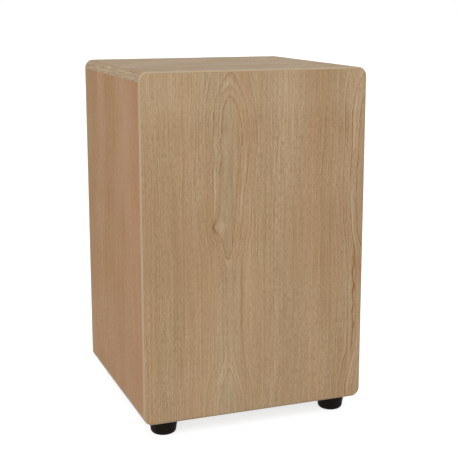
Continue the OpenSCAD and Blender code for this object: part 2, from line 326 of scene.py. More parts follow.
def spot(x, z, place, size):
    """Soft round spot: a bell curve across times a bell curve along."""
    return gauss((x - place[0]) / size[0]) * gauss((z - place[1]) / size[1])


def linear(red, green, blue):
    """Linear colour of an sRGB colour given in 0 to 255, by the sRGB curve."""
    c = np.array([red, green, blue]) / 255
    return (*np.where(c <= 0.04045, c / 12.92, ((c + 0.055) / 1.055) ** 2.4), 1.0)


def new_material(name):
    """A material with its tree, its Principled shader and its object coordinates in millimetres."""
    material = bpy.data.materials.new(name)
    material.use_nodes = True
    tree = material.node_tree
    shader = tree.nodes["Principled BSDF"]
    place = tree.nodes.new("ShaderNodeTexCoord")
    parts = tree.nodes.new("ShaderNodeSeparateXYZ")
    tree.links.new(place.outputs["Object"], parts.inputs[0])
    axes = [Channel(tree, socket) / MM for socket in parts.outputs]
    return material, tree, shader, axes


def noise(tree, place, cell, seeds=(), detail=1.0, roughness=0.5):
    """Noise from 0 to 1 at a place, in cells of the given sizes. Seeds take the axes that the place
    leaves free."""
    point = tree.nodes.new("ShaderNodeCombineXYZ")
    cells = [value / size for value, size in zip(place, cell)]
    for socket, value in zip(point.inputs, (*cells, *seeds)):
        plug(tree, value, socket)
    node = tree.nodes.new("ShaderNodeTexNoise")
    node.inputs["Scale"].default_value = 1.0
    node.inputs["Detail"].default_value = detail
    node.inputs["Roughness"].default_value = roughness
    tree.links.new(point.outputs[0], node.inputs["Vector"])
    return Channel(tree, node.outputs["Fac"])


def blend(tree, share, low, high):
    """Colour that goes from low to high with the share."""
    node = tree.nodes.new("ShaderNodeMix")
    node.data_type = "RGBA"
    for index, value in ((0, share), (6, low), (7, high)):
        plug(tree, value, node.inputs[index])
    return node.outputs[2]


def coat(tree, shader, colour, roughness, gloss):
    """Gives a shader its colour, roughness and specular level."""
    plug(tree, colour, shader.inputs["Base Color"])
    plug(tree, roughness, shader.inputs["Roughness"])
    plug(tree, gloss, shader.inputs["Specular IOR Level"])


def bump(tree, shader, height, depth):
    """Relief of a height in 0 to 1, so deep in metres."""
    node = tree.nodes.new("ShaderNodeBump")
    node.inputs["Strength"].default_value = 1.0
    node.inputs["Distance"].default_value = depth
    plug(tree, height, node.inputs["Height"])
    tree.links.new(node.outputs["Normal"], shader.inputs["Normal"])


# Colours of the finishes

TAPA_PALE = linear(199, 177, 146)
TAPA_DEEP = linear(174, 142, 102)
TAPA_LINE = linear(130, 86, 52)
TAPA_FIBRE = linear(139, 107, 72)
TAPA_WARM = linear(184, 144, 108)
TAPA_TAN = linear(164, 130, 93)
TAPA_HEART = linear(178, 158, 130)
TAPA_GLEAM = linear(208, 190, 162)
TAPA_EYE = linear(122, 80, 46)
TAPA_RESIN = linear(138, 82, 34)
SIDE_PALE = linear(182, 146, 108)
SIDE_DEEP = linear(167, 126, 87)
SIDE_LINE = linear(132, 92, 62)
SIDE_FIBRE = linear(139, 98, 62)
SIDE_ROSE = linear(182, 148, 120)
SIDE_RED = linear(176, 129, 96)
SIDE_OLIVE = linear(156, 126, 92)
TOP_PALE = linear(166, 146, 113)
TOP_DEEP = linear(153, 129, 96)
TOP_LINE = linear(136, 102, 74)
TOP_FIBRE = linear(146, 116, 86)
PLY_PALE = linear(181, 161, 132)
PLY_DARK = linear(160, 136, 106)
CORE_PALE = linear(172, 151, 120)
CORE_DARK = linear(148, 122, 92)
GLUE = linear(134, 98, 72)
BEECH_PALE = linear(206, 176, 138)
BEECH_DEEP = linear(188, 152, 112)
BEECH_RAY = linear(150, 108, 72)
RUBBER_BLACK = linear(17, 10, 6)
RUBBER_DUSTY = linear(28, 18, 12)
ZINC_BRIGHT = linear(196, 198, 202)
ZINC_DULL = linear(168, 169, 172)
NYLON_PALE = linear(232, 227, 212)
NYLON_DEEP = linear(214, 207, 190)

# Depth of the finishes' relief, in metres
LACQUER_RELIEF = 0.1 * MM
RUBBER_RELIEF = 0.05 * MM
BEECH_RELIEF = 0.05 * MM
ZINC_RELIEF = 0.01 * MM
NYLON_RELIEF = 0.02 * MM

# Lengths in the finishes below are in millimetres. A pair holds the two ends of a step or a run, or a value
# across the board and one along it, and two pairs are a rise and a fall

# Growth rings of any veneer
RING_PITCH = 10.0
HEART_R = 4.0
HEART_REACH = 42.0
PLAIN_HEART = 0.15
GRAIN_DRIFT = 4.0
RIPPLE = 5.0
PLAIN_RIPPLE = 0.4
JAG = 2.2
WANDER_RINGS = 1.5
WANDER_R = (20.0, 60.0)
DARK_TURN = ((0.87, 0.96), (1.0, 0.97))
LIGHT_TURN = ((0.0, 0.05), (0.3, 0.06))
FAINT_TURN = ((0.7, 0.92), (1.0, 0.95))
FAINT_PER_RING = 2.7
LINE_GATE = (0.42, 0.62)
FAINT_GATE = (0.48, 0.62)
LINE_STRENGTH = (0.6, 1.05)
STRAY_LINES = 0.12
HEART_CLEAR = (9.0, 12.0)
DARK_SHARE = 0.95
FAINT_SHARE = 0.6
LIGHT_SHARE = 0.42
TONE_STEP = (0.22, 0.78)
TONE_SHARE = 0.6
PATCH_SHARE = 0.4

# Fibres of any veneer: size, seed and detail of their noise, and the step and share with which they show
Fibres = namedtuple("Fibres", "width length seed detail step share")
BANDS = Fibres(5.0, 400.0, 21.0, 2.0, (0.4, 0.75), 0.1)
STREAKS = Fibres(1.7, 350.0, 13.0, 1.0, (0.42, 0.62), 0.27)
DASHES = Fibres(1.2, 60.0, 17.0, 1.0, (0.44, 0.62), 0.3)
FLECKS = Fibres(1.0, 7.0, 19.0, 1.0, (0.46, 0.64), 0.4)
PORES = Fibres(0.9, 4.0, 23.0, 1.0, (0.58, 0.74), 0.25)
VEINS = Fibres(1.4, 420.0, 25.0, 1.0, (0.62, 0.7), 0.18)
DASH_RELIEF = 0.3
PORE_RELIEF = 1.6
LINE_RELIEF = 0.1

# Satin lacquer
VENEER_GLOSS = 0.15
SIDE_GLOSS = 0.04
LACQUER_ROUGH = (0.47, 0.57)
PORE_ROUGH = 0.2

# Figure of the playing board: a tall teardrop of growth lines in each column
FIGURE_X = -37.0
FIGURE_PITCH = 186.0
TIP_POWER = 1.55
LEAN = 3.5
LEAN_Z = 375.0
LEAN_REACH = 45.0
CROWN_Z = (374.0, 480.0)
CROWN_RISE = 27.0
NECK_Z = ((28.0, 106.0), (300.0, 185.0))
NECK_RISE = 18.5
RISE_REACH = 50.0
PINCH_Z = ((5.0, 90.0), (400.0, 220.0))
PINCH = 0.35
PINCH_REACH = 34.0
KNOT_PLACE = (-49.0, 267.0)
KNOT_SIZE = (12.0, 9.0)
KNOT_PULL = 16.5
BOLD_Z = (110.0, 210.0)
FLAME_LINES = 0.75
SECOND_X = (95.0, 130.0)
SECOND_LINES = 0.5

# Tints of the playing board
WARM_SHARE = 0.22
COLUMN_X = -28.0
COLUMN_REACH = 50.0
COLUMN_Z = (260.0, 215.0)
COLUMN_SHARE = 0.2
BORDER_X = (112.0, 140.0)
BORDER_Z = (215.0, 160.0)
BORDER_SHARE = 0.12
CROWN_TINT_Z = (385.0, 425.0)
CROWN_TINT_SHARE = 0.1
WAIST_Z = ((170.0, 210.0), (330.0, 280.0))
WAIST_SHARE = 0.26
HEART_RIM = (14.0, 9.0)
HEART_SHARE = 0.3
MOTTLE_SHARE = 0.26
NOSE_PLACE = (-48.0, 267.0)
NOSE_SIZE = (7.0, 9.0)
NOSE_SHARE = 0.2
EYE_PLACE = (-58.0, 267.0)
EYE_SIZE = (8.0, 10.0)
EYE_RING = 16.0
EYE_WIDTH = 5.0
EYE_SHARE = 0.7
GLEAM_RING = 20.5
GLEAM_WIDTH = 1.2
GLEAM_Z = (190.0, 240.0)
GLEAM_FOOT_Z = (120.0, 70.0)
GLEAM_SHARE = 0.42
RESIN_X = 137.0
RESIN_Z = ((60.0, 110.0), (245.0, 205.0))
RESIN_WIDTH = (0.6, 1.8)
RESIN_SWAY = 4.5
RESIN_SHARE = 0.8
THREAD_X = -20.0
THREAD_Z = ((95.0, 150.0), (235.0, 205.0))
THREAD_WIDTH = 1.0
THREAD_SWAY = 0.35
THREAD_SHARE = 0.5

# Cut edges, as depths under the outer face
TAPA_SKIN = (0.12, 0.15)
TAPA_GLUE = (0.22, 0.17)
TAPA_SANDING = 0.08
TAPA_MIDDLE = ((1.9, 2.0), (3.0, 2.9))
PLY_STREAKS = 0.35
PLY_MIDDLE = 0.2
BACK_CUT = ((0.35, 0.4), (4.9, 4.8))
BACK_PLY = 2.6
BACK_LAYERS = 0.5
BACK_STREAKS = 0.4
SEAT_SANDING = 2.5
SEAT_SKIN = (1.6, 1.9)
SEAT_GLUE = (2.6, 2.1)
SEAT_GLUE_SHARE = 0.8
CORE_GLUE = ((5.0, 5.4), (6.2, 5.6))
CORE_GLUE_SHARE = 0.5
CORE_SLANT = 0.043

# Lanes of the side and seat veneers
SIDE_LINES = 0.7
SIDE_SWAY = 8.0
SIDE_GRAIN = 0.14
REAR_STRIPE_Y = 47.0
REAR_STRIPE_W = 19.0
REAR_STRIPE_GAIN = 0.75
FRONT_STRIPE_Y = -78.0
FRONT_STRIPE_W = 32.0
STRIPE_Z = (205.0, 400.0)
STRIPE_SHARE = (0.07, 0.45)
# Painted light: the foot of the side is made paler, lifting the shade that falls near the floor
FOOT_PAINTED_LIGHT_Z = (195.0, 120.0)
FOOT_PAINTED_LIGHT_SHARE = 0.16
RED_Y = (-85.0, -130.0)
RED_SHARE = 0.4
OLIVE_Y = (60.0, 110.0)
OLIVE_Z = (20.0, 300.0)
OLIVE_SHARE = 0.35
SEAT_LINES = 0.6
SEAT_WAVE = 15.0
SEAT_LANES = 0.26


# Wood


def teardrop_rings(x, z):
    """Distance of the cut from the heart of the log. Across, it is the distance to the nearest column,
    which is pinched towards the neck below the teardrop; along, it rises at the crown and between the
    neck and the flame under it. The two are joined by a power mean with a low power, which makes the tips
    pointed. A small knot pulls the rings aside, and the teardrop leans a little to the right in its upper
    part."""
    knot = gauss((x - KNOT_PLACE[0]) / KNOT_SIZE[0]) * peak((z - KNOT_PLACE[1]) / KNOT_SIZE[1])
    lean = gauss((z - LEAN_Z) / LEAN_REACH) * LEAN
    column = (x + knot * KNOT_PULL - FIGURE_X - lean).math("WRAP", FIGURE_PITCH / 2, -FIGURE_PITCH / 2)
    pinch = z.window(*PINCH_Z) * gauss(column / PINCH_REACH)
    across = (column / pinch.run(1.0, 1.0 - PINCH)).math("ABSOLUTE")
    climb = z.step(*CROWN_Z) * CROWN_RISE + z.window(*NECK_Z) * NECK_RISE
    along = climb * gauss(column / RISE_REACH)
    return (across ** TIP_POWER + along ** TIP_POWER) ** (1.0 / TIP_POWER)


def growth_lines(tree, across, along, path, figure, seed, lines):
    """Shares of the dark, faint and light lines that the growth rings draw, and the distance from the
    heart. That distance ripples and is jagged from fibre to fibre, and is then counted in rings, unevenly
    far from the heart. A ring ends in a thin dark line and begins with a pale one, and faint lines lie
    between. The lines come and go along the grain, and they weaken away from the heart of a figure."""
    ring = figure(path, along) if figure else path
    heart = gauss(ring / HEART_REACH) if figure else PLAIN_HEART
    ripple = noise(tree, (across, along), cell=(30.0, 26.0), seeds=(seed + 7.0,)).swing(0.5)
    jag = noise(tree, (across, along), cell=(1.6, 18.0), seeds=(seed + 9.0,)).swing(0.5)
    ring = ring + ripple * (heart * RIPPLE + PLAIN_RIPPLE) + jag * heart * JAG
    wander = noise(tree, (ring, along), cell=(24.0, 900.0), seeds=(seed + 3.0,)).swing(WANDER_RINGS)
    count = (ring - HEART_R) / RING_PITCH + wander * ring.step(*WANDER_R)
    place = (count, along)
    gate = noise(tree, place, cell=(1.25, 70.0), seeds=(seed + 11.0,), detail=3.0).step(*LINE_GATE)
    shown = noise(tree, place, cell=(0.909, 60.0), seeds=(seed + 15.0,), detail=2.0).step(*FAINT_GATE)
    strength = (gate.run(*LINE_STRENGTH) * heart + gate * STRAY_LINES) * lines
    if figure:
        strength = strength * ring.step(*HEART_CLEAR)
    turn = count.math("FRACT")
    dark = turn.window(*DARK_TURN) * strength
    faint = (count * FAINT_PER_RING).math("FRACT").window(*FAINT_TURN) * shown * strength
    light = turn.window(*LIGHT_TURN) * strength
    return dark, faint, light, ring


def fibres(tree, path, along, seed, kind):
    """One kind of fibre: noise drawn out along the grain, and the share with which it shows."""
    cells = noise(tree, (path, along), (kind.width, kind.length), (seed + kind.seed,), kind.detail)
    return cells, cells.step(*kind.step) * kind.share


def wood(tree, across, along, colours, seed, figure=None, lines=1.0):
    """Colour and relief of a veneer, and the distance from its heart. Two slow noises mix the pale and
    the deep tone. Straight fibres of four sizes lie over it, on a path that drifts a little from side to
    side. The growth lines come next, then short pores and long thin veins."""
    pale, deep, line_colour, fibre_colour = colours
    path = across + noise(tree, (across, along), cell=(80.0, 260.0), seeds=(seed,)).swing(GRAIN_DRIFT)
    dark, faint, light, ring = growth_lines(tree, across, along, path, figure, seed, lines)
    tone = noise(tree, (path, along), cell=(55.0, 380.0), seeds=(seed + 5.0,)).step(*TONE_STEP)
    patch = noise(tree, (path, along), cell=(70.0, 420.0), seeds=(seed + 29.0,)).step(*TONE_STEP)
    _, bands = fibres(tree, path, along, seed, BANDS)
    _, streaks = fibres(tree, path, along, seed, STREAKS)
    dash_cells, dashes = fibres(tree, path, along, seed, DASHES)
    _, flecks = fibres(tree, path, along, seed, FLECKS)
    _, pores = fibres(tree, path, along, seed, PORES)
    _, veins = fibres(tree, path, along, seed, VEINS)
    colour = blend(tree, tone * TONE_SHARE + patch * PATCH_SHARE, pale, deep)
    for share in (bands, streaks, dashes, flecks):
        colour = blend(tree, share, colour, fibre_colour)
    colour = blend(tree, light * LIGHT_SHARE, colour, pale)
    for share in (faint * FAINT_SHARE, dark * DARK_SHARE, pores, veins):
        colour = blend(tree, share, colour, line_colour)
    relief = dash_cells * -DASH_RELIEF - pores * PORE_RELIEF - dark * LINE_RELIEF
    return colour, relief, ring


def lacquer(tree, shader, colour, relief, axes, gloss=VENEER_GLOSS):
    """Satin clear finish that leaves some of the grain open, duller in the pores and where hands have
    rubbed it."""
    rubbed = noise(tree, axes, cell=(45.0, 45.0, 60.0), detail=3.0).step(0.35, 0.7)
    coat(tree, shader, colour, rubbed.run(*LACQUER_ROUGH) - relief * PORE_ROUGH, gloss)
    bump(tree, shader, relief, LACQUER_RELIEF)


def tapa_veneer(tree, x, z):
    """Colour and relief of the playing board. Its growth lines are softer in the flame and bolder in the
    second column. Warm lanes tint it. The column below the knot, the lower right border and the crown are
    paler, and the waist beside the column is tanner. The heart is greyer and mottled, and a pale line
    runs between the first two rings. The knot has a dark tip and a pale nose, and two lines of resin sway
    along the grain, one thick and one thin."""
    colours = (TAPA_PALE, TAPA_DEEP, TAPA_LINE, TAPA_FIBRE)
    bold = z.step(*BOLD_Z).run(FLAME_LINES, 1.0) + x.step(*SECOND_X) * SECOND_LINES
    veneer, relief, ring = wood(tree, x, z, colours, seed=2.0, figure=teardrop_rings, lines=bold)
    warmth = noise(tree, (x, z), cell=(34.0, 300.0), seeds=(41.0,)).step(0.4, 0.65)
    veneer = blend(tree, warmth * WARM_SHARE, veneer, TAPA_WARM)
    column = gauss((x - COLUMN_X) / COLUMN_REACH)
    border = x.step(*BORDER_X) * z.step(*BORDER_Z) * BORDER_SHARE
    veneer = blend(tree, column * z.step(*COLUMN_Z) * COLUMN_SHARE + border, veneer, TAPA_PALE)
    veneer = blend(tree, z.step(*CROWN_TINT_Z) * CROWN_TINT_SHARE, veneer, TAPA_GLEAM)
    veneer = blend(tree, column.run(1.0, 0.0) * z.window(*WAIST_Z) * WAIST_SHARE, veneer, TAPA_TAN)
    inside = ring.step(*HEART_RIM)
    veneer = blend(tree, inside * HEART_SHARE, veneer, TAPA_HEART)
    mottle = noise(tree, (x, z), cell=(4.5, 45.0), seeds=(59.0,), detail=3.0).step(0.44, 0.66)
    veneer = blend(tree, inside * mottle * MOTTLE_SHARE, veneer, TAPA_FIBRE)
    nose = inside * spot(x, z, NOSE_PLACE, NOSE_SIZE)
    veneer = blend(tree, nose * NOSE_SHARE, veneer, TAPA_GLEAM)
    lit = noise(tree, (x, z), cell=(60.0, 90.0), seeds=(47.0,), detail=2.0).step(0.38, 0.58)
    reach = z.step(*GLEAM_Z) + z.step(*GLEAM_FOOT_Z)
    gleam = gauss((ring - GLEAM_RING) / GLEAM_WIDTH) * lit * reach
    veneer = blend(tree, gleam * GLEAM_SHARE, veneer, TAPA_GLEAM)
    eye = gauss((ring - EYE_RING) / EYE_WIDTH) * spot(x, z, EYE_PLACE, EYE_SIZE)
    veneer = blend(tree, eye * EYE_SHARE, veneer, TAPA_EYE)
    sway = noise(tree, (z,), cell=(26.0,), seeds=(3.0, 7.0)).swing(RESIN_SWAY)
    width = noise(tree, (z,), cell=(18.0,), seeds=(9.0, 1.0)).step(0.4, 0.7).run(*RESIN_WIDTH)
    resin = gauss((x - RESIN_X + sway) / width) * z.window(*RESIN_Z)
    thread = gauss((x - THREAD_X + sway * THREAD_SWAY) / THREAD_WIDTH) * z.window(*THREAD_Z)
    veneer = blend(tree, resin * RESIN_SHARE + thread * THREAD_SHARE, veneer, TAPA_RESIN)
    return veneer, relief


def tapa_material():
    """Figured veneer on the front of a pale three-ply board. The rounded edge shows a line of glue and
    the plies."""
    material, tree, shader, (x, y, z) = new_material("playing_board_veneer")
    veneer, relief = tapa_veneer(tree, x, z)
    sanded = noise(tree, (x, z), cell=(25.0, 25.0), seeds=(13.0,), detail=3.0).swing(TAPA_SANDING)
    depth = y - TAPA_LO[1] / MM + sanded
    streak = noise(tree, (x, y, z), cell=(2.0, 0.5, 70.0), detail=3.0).step(0.3, 0.7)
    middle = depth.window(*TAPA_MIDDLE)
    ply = blend(tree, streak * PLY_STREAKS + middle * PLY_MIDDLE, PLY_PALE, PLY_DARK)
    edge = blend(tree, depth.step(*TAPA_GLUE), ply, GLUE)
    colour = blend(tree, depth.step(*TAPA_SKIN), veneer, edge)
    lacquer(tree, shader, colour, relief, (x, y, z))
    return material


def back_material():
    """Straight veneer on a ply board whose layers show in the sound hole."""
    material, tree, shader, (x, y, z) = new_material("back_board_veneer")
    colours = (SIDE_PALE, SIDE_DEEP, SIDE_LINE, SIDE_FIBRE)
    veneer, relief, _ = wood(tree, x, z, colours, seed=31.0)
    depth = y * -1.0 + BACK_HI[1] / MM
    layer = (depth / BACK_PLY).math("FRACT").step(0.46, 0.54)
    streak = noise(tree, (x, y, z), cell=(3.0, 0.3, 3.0), detail=3.0)
    ply = blend(tree, layer * BACK_LAYERS + streak * BACK_STREAKS, PLY_PALE, PLY_DARK)
    colour = blend(tree, depth.window(*BACK_CUT), veneer, ply)
    lacquer(tree, shader, colour, relief, (x, y, z))
    return material


def side_material():
    """Straight soft grain up the side, in lanes that sway a little: from the rear an olive lane, a pale
    stripe, a broader pale stripe and a redder lane. The stripes fade downwards, and the foot of the side
    is a little paler, which is painted light that lifts the shade falling near the floor."""
    material, tree, shader, (x, y, z) = new_material("side_veneer")
    colours = (SIDE_PALE, SIDE_DEEP, SIDE_LINE, SIDE_FIBRE)
    veneer, relief, _ = wood(tree, y, z, colours, seed=53.0, lines=SIDE_LINES)
    lane = y + noise(tree, (y, z), cell=(90.0, 170.0), seeds=(83.0,)).swing(SIDE_SWAY)
    grain = noise(tree, (lane, z), cell=(6.0, 320.0), seeds=(89.0,)).step(0.5, 0.7)
    veneer = blend(tree, grain * SIDE_GRAIN, veneer, SIDE_LINE)
    rear = gauss((lane - REAR_STRIPE_Y) / REAR_STRIPE_W)
    front = gauss((lane - FRONT_STRIPE_Y) / FRONT_STRIPE_W)
    stripes = rear * REAR_STRIPE_GAIN + front
    veneer = blend(tree, stripes * z.step(*STRIPE_Z).run(*STRIPE_SHARE), veneer, SIDE_ROSE)
    # Painted light: the foot of the side is made paler to lift the shade near the floor
    veneer = blend(tree, z.step(*FOOT_PAINTED_LIGHT_Z) * FOOT_PAINTED_LIGHT_SHARE, veneer, SIDE_ROSE)
    veneer = blend(tree, lane.step(*RED_Y) * RED_SHARE, veneer, SIDE_RED)
    veneer = blend(tree, lane.step(*OLIVE_Y) * z.step(*OLIVE_Z) * OLIVE_SHARE, veneer, SIDE_OLIVE)
    lacquer(tree, shader, veneer, relief, (x, y, z), SIDE_GLOSS)
    return material


def seat_material(name, face_z, side):
    """Veneer with its grain from side to side, over a plain core that shows where the long edges are
    rounded. The sanded edge of the veneer wanders, with a dark line of glue along it and a second one
    further in."""
    material, tree, shader, (x, y, z) = new_material(name)
    colours = (TOP_PALE, TOP_DEEP, TOP_LINE, TOP_FIBRE)
    veneer, relief, _ = wood(tree, y, x, colours, seed=71.0, lines=SEAT_LINES)
    wave = noise(tree, (x, y), cell=(120.0, 90.0), seeds=(77.0,)).swing(SEAT_WAVE)
    lane = noise(tree, (y + wave, x), cell=(15.0, 260.0), seeds=(79.0,), detail=2.0).step(0.42, 0.68)
    veneer = blend(tree, lane * SEAT_LANES, veneer, TOP_FIBRE)
    sanded = noise(tree, (y, x), cell=(70.0, 100.0), seeds=(5.0,), detail=2.0).swing(SEAT_SANDING)
    depth = (z - face_z / MM) * -side + sanded
    slant = z + y * CORE_SLANT
    streak = noise(tree, (x, y, slant), cell=(2.0, 30.0, 1.2), detail=3.0, roughness=0.6).step(0.35, 0.65)
    core = blend(tree, streak, CORE_PALE, CORE_DARK)
    core = blend(tree, depth.step(*SEAT_GLUE) * SEAT_GLUE_SHARE, core, GLUE)
    core = blend(tree, depth.window(*CORE_GLUE) * CORE_GLUE_SHARE, core, GLUE)
    colour = blend(tree, depth.step(*SEAT_SKIN), veneer, core)
    lacquer(tree, shader, colour, relief, (x, y, z))
    return material


# Other finishes


def rubber_material():
    """Matte black moulded rubber with a faint grain and dust."""
    material, tree, shader, axes = new_material("foot_rubber")
    grain = noise(tree, axes, cell=(0.5, 0.5, 0.5), detail=3.0)
    dust = noise(tree, axes, cell=(9.0, 9.0, 5.0), detail=4.0).step(0.35, 0.8)
    colour = blend(tree, dust.run(0.0, 0.5), RUBBER_BLACK, RUBBER_DUSTY)
    coat(tree, shader, colour, roughness=grain.run(0.55, 0.75), gloss=0.09)
    bump(tree, shader, grain, RUBBER_RELIEF)
    return material


def beech_material(name, along_axis):
    """Bare beech: pale tan with soft growth bands across the grain and short darker rays along it."""
    material, tree, shader, axes = new_material(name)
    across, through, along = axes[along_axis - 2], axes[along_axis - 1], axes[along_axis]
    bend = noise(tree, (across, through, along), cell=(20.0, 20.0, 120.0), detail=2.0).run(0.0, 6.0)
    bent = (across + bend, through + bend, along)
    ring = noise(tree, bent, cell=(3.0, 5.0, 300.0), detail=2.0)
    ray = noise(tree, (across, through, along), cell=(0.35, 0.35, 3.0)).step(0.6, 0.72).run(0.0, 0.5)
    colour = blend(tree, ring.step(0.3, 0.7), BEECH_PALE, BEECH_DEEP)
    colour = blend(tree, ray, colour, BEECH_RAY)
    coat(tree, shader, colour, roughness=ring.run(0.5, 0.65), gloss=0.2)
    bump(tree, shader, ring.run(0.0, 0.5) - ray, BEECH_RELIEF)
    return material


def steel_material():
    """Bright zinc on steel, with faint drawn scratches and cloudy roughness."""
    material, tree, shader, axes = new_material("zinc_steel")
    cloud = noise(tree, axes, cell=(4.0, 4.0, 4.0), detail=3.0)
    scratch = noise(tree, axes, cell=(0.2, 0.2, 6.0), detail=2.0)
    colour = blend(tree, cloud.step(0.3, 0.7), ZINC_BRIGHT, ZINC_DULL)
    shader.inputs["Metallic"].default_value = 1.0
    coat(tree, shader, colour, roughness=cloud.run(0.22, 0.42), gloss=0.5)
    bump(tree, shader, scratch, ZINC_RELIEF)
    return material


def nylon_material():
    """Natural nylon with a faint turned grain."""
    material, tree, shader, axes = new_material("natural_nylon")
    cloud = noise(tree, axes, cell=(2.0, 2.0, 2.0), detail=3.0)
    turned = noise(tree, axes, cell=(0.25, 3.0, 3.0))
    colour = blend(tree, cloud, NYLON_PALE, NYLON_DEEP)
    coat(tree, shader, colour, roughness=cloud.run(0.4, 0.55), gloss=0.5)
    bump(tree, shader, turned, NYLON_RELIEF)
    return material


def seen_directly(tree):
    """One for rays from the camera, in reflections and through glass, and nought for light on the
    object."""
    path = tree.nodes.new("ShaderNodeLightPath")
    kinds = ("Is Camera Ray", "Is Glossy Ray", "Is Transmission Ray")
    camera, glossy, passing = (Channel(tree, path.outputs[kind]) for kind in kinds)
    return camera.math("MAXIMUM", glossy).math("MAXIMUM", passing)


def floor_material():
    """White floor that glows for the camera and for reflections, so that only the shadow darkens it."""
    material, tree, shader, _ = new_material("floor_white")
    coat(tree, shader, (FLOOR_GREY, FLOOR_GREY, FLOOR_GREY, 1.0), roughness=1.0, gloss=0.0)
    shader.inputs["Emission Color"].default_value = WHITE
    plug(tree, seen_directly(tree) * FLOOR_GLOW, shader.inputs["Emission Strength"])
    return material


# Box


def make_tapa(material):
    """Playing board: the rounded outline, with its front edge well rounded and its back edge only
    broken."""
    profile = rim(TAPA_HI[1] - TAPA_LO[1], TAPA_EDGE, TAPA_BACK_EDGE)
    rings = facing_front(board_rings(HALF_W, HALF_H, CORNER, profile), TAPA_LO[1], MID_Z)
    make_piece("playing_board", *capped(rings), material, "box", "tapa_veneer", "tapa")


def hole_height():
    """Height of the sound hole's centre, from the opening that the record gives."""
    opening = next(o for o in frame["record"]["physics"]["openings"] if o["name"] == "sound_hole")
    low, high = np.array(opening["box_m"])
    return (low[2] + high[2]) / 2


def make_back(material):
    """Back board: the rounded outline with its outer edge rounded, and a round hole whose wall has both
    edges rounded. Flat rings join the outline to the hole along straight lines."""
    thickness = BACK_HI[1] - BACK_LO[1]
    outer = board_rings(HALF_W, HALF_H, CORNER, rim(thickness, BACK_EDGE, HAIRLINE), BACK_RUN_STEPS)
    centre = hole_height() - MID_Z
    angle = np.arctan2(outer[0, :, 1] - centre, outer[0, :, 0])
    wall = rim(thickness, HOLE_EDGE, HOLE_EDGE)[::-1]
    radius = HOLE_R + wall[:, :1]
    hole = np.stack(
        [radius * np.cos(angle), radius * np.sin(angle) + centre, wall[:, 1:] + 0 * angle], axis=-1
    )
    rings = facing_back(np.concatenate([outer, hole]), BACK_HI[1], MID_Z)
    rows, cols = rings.shape[:2]
    faces = quads(rows, cols, wrap_rows=True)
    make_piece("back_board", rings, faces, material, "box", "side_veneer", "back_panel")


def top_section():
    """Section of the top board: an underside with a groove for each side board's tongue, short upright
    edges and a quarter circle at each upper corner. The right half is drawn outwards and upwards, then
    mirrored."""
    turn = np.linspace(0, np.pi / 2, CORNER_STEPS + 1)
    arc = np.column_stack([np.cos(turn), np.sin(turn)]) * CORNER + [HALF_W - CORNER, TOP_HI[2] - CORNER]
    low = TOP_LO[2]
    roof = low + TONGUE_H + GLUE_GAP
    near = SIDE_LO[0] - GLUE_GAP
    far = SIDE_LO[0] + TONGUE_T + GLUE_GAP
    groove = np.array([[near, low], [near, roof], [far, roof], [far, low]])
    edge = np.array([[HALF_W - HAIRLINE, low], [HALF_W, low + HAIRLINE]])
    half = np.concatenate([groove, edge, arc])
    return np.concatenate([half, half[::-1] * [-1, 1]])


def make_top(material):
    """Top board: the top section carried from the playing board to the back board."""
    board = swept(top_section(), TOP_LO[1], TOP_HI[1])
    make_piece("top_board", *board, material, "box", "top_veneer", "top_panel")


def make_bottom(material):
    """Bottom board: the top section turned upside down and carried the same way."""
    section = (top_section() * [1, -1] + [0, TOP_HI[2] + BOTTOM_LO[2]])[::-1]
    board = swept(section, BOTTOM_LO[1], BOTTOM_HI[1])
    make_piece("bottom_board", *board, material, "box", "top_veneer", "bottom_panel")


def make_side(material, name, side):
    """Side board between the top and bottom boards: its section, with a tongue at each end and a hairline
    bevel at its outer corners, carried from the playing board to the back board."""
    inner, outer = SIDE_LO[0], SIDE_HI[0]
    low, high = BOTTOM_HI[2], TOP_LO[2]
    step = inner + TONGUE_T
    section = np.array([
        [inner, low - TONGUE_H], [step, low - TONGUE_H], [step, low],
        [outer - HAIRLINE, low], [outer, low + HAIRLINE],
        [outer, high - HAIRLINE], [outer - HAIRLINE, high],
        [step, high], [step, high + TONGUE_H], [inner, high + TONGUE_H],
    ])
    if side < 0:
        section = (section * [-1, 1])[::-1]
    board = swept(section, SIDE_LO[1], SIDE_HI[1])
    make_piece(f"{name}_side_board", *board, material, "box", "side_veneer", f"{name}_side_panel")


def foot_profile(height):
    """Radius and height round a foot: a quarter circle at the lower edge, a slightly hollow side whose
    radius grows with a power of the height, the flat top, and the screw's bore and recess with a bevel at
    its mouth."""
    turn = np.linspace(-np.pi / 2, 0, EDGE_STEPS + 1)[:, None]
    lower = np.hstack([np.cos(turn), np.sin(turn)]) * FOOT_EDGE + [FOOT_LOW_R - FOOT_EDGE, FOOT_EDGE]
    rise = np.linspace(*FOOT_RISE, FOOT_RISE_STEPS)[:, None]
    radius = FOOT_LOW_R + (FOOT_TOP_R - FOOT_LOW_R) * rise ** FOOT_HOLLOW
    side = np.hstack([radius, FOOT_EDGE + (height - FOOT_EDGE) * rise])
    bore = np.array([
        [FOOT_BORE_R, height], [FOOT_BORE_R, FOOT_RECESS_H],
        [FOOT_RECESS_R, FOOT_RECESS_H], [FOOT_RECESS_R, FOOT_BEVEL], [FOOT_RECESS_R + FOOT_BEVEL, 0.0],
    ])
    return np.concatenate([lower, side, bore])


def make_foot(material, place):
    """Rubber foot: its profile turned about the axis of the CAD foot."""
    lo, hi = span(f"foot_{place}")
    centre = ((lo[0] + hi[0]) / 2, (lo[1] + hi[1]) / 2, 0.0)
    foot = lathe(foot_profile(hi[2]), centre)
    make_piece(f"rubber_foot_{place}", *foot, material, "box", "rubber", f"foot_{place}")


# Snare


